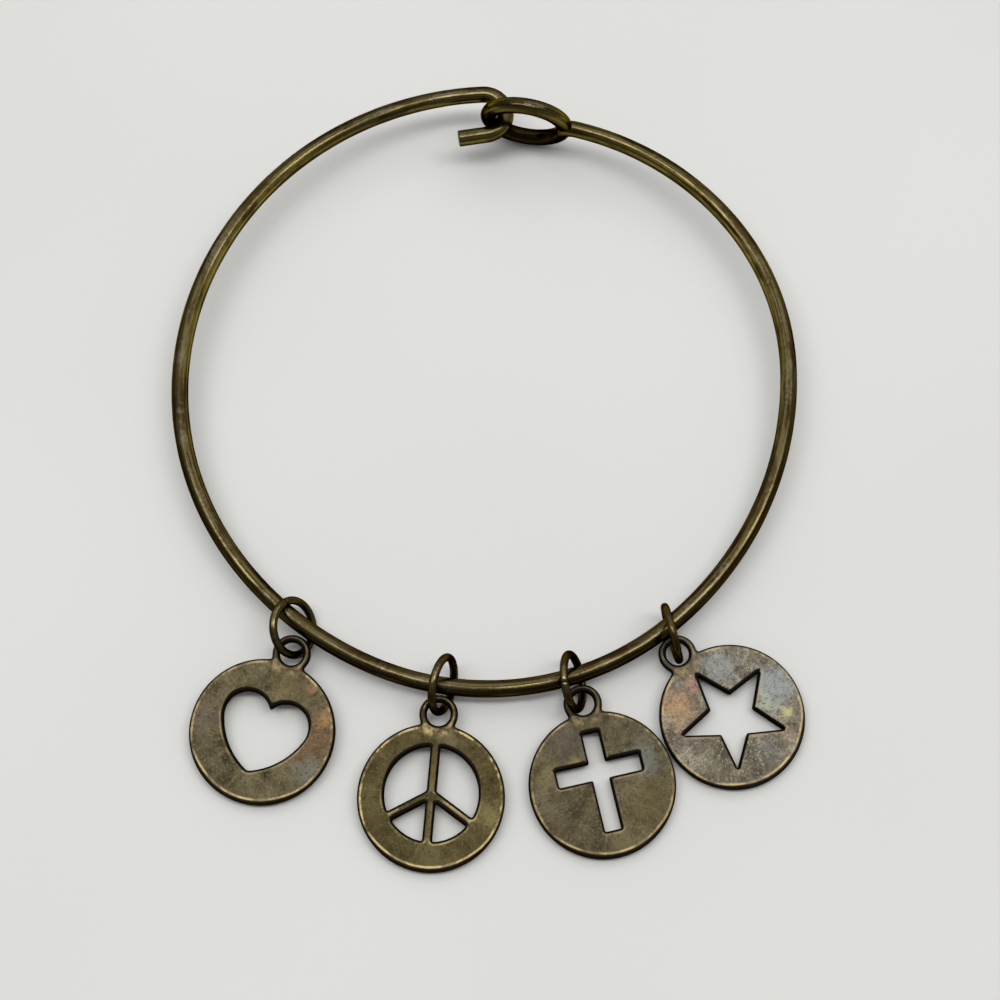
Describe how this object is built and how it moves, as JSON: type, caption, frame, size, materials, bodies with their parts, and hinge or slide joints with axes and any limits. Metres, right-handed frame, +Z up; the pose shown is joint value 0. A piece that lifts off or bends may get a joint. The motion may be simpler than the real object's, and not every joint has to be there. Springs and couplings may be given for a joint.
{
  "type": "charm bangle",
  "caption": "Round wire bangle closed by a hook through an eye, with pierced disc charms on jump rings, lying on a surface.",
  "frame": {"origin": "on the surface it lies on, below the middle of the wrist opening", "axes": "+Z up from the surface, +Y towards the clasp, charms towards -Y, +X to the right seen from above with the clasp at the top"},
  "size_m": [0.0672, 0.0871, 0.0103],
  "materials": {
    "wire_bronze": "antique bronze plating, dark olive brown with worn golden highlights, satin",
    "ring_bronze": "antique bronze plating, dark olive brown with worn golden highlights, satin",
    "charm_bronze": "cast antique bronze, mottled olive and copper patina, rims worn bright"
  },
  "bodies": {
    "root": {"bangle": "wire_bronze", "jump_ring_heart": "ring_bronze", "jump_ring_peace": "ring_bronze", "jump_ring_cross": "ring_bronze", "jump_ring_star": "ring_bronze", "charm_heart": "charm_bronze", "charm_peace": "charm_bronze", "charm_cross": "charm_bronze", "charm_star": "charm_bronze"}
  },
  "joints": []
}
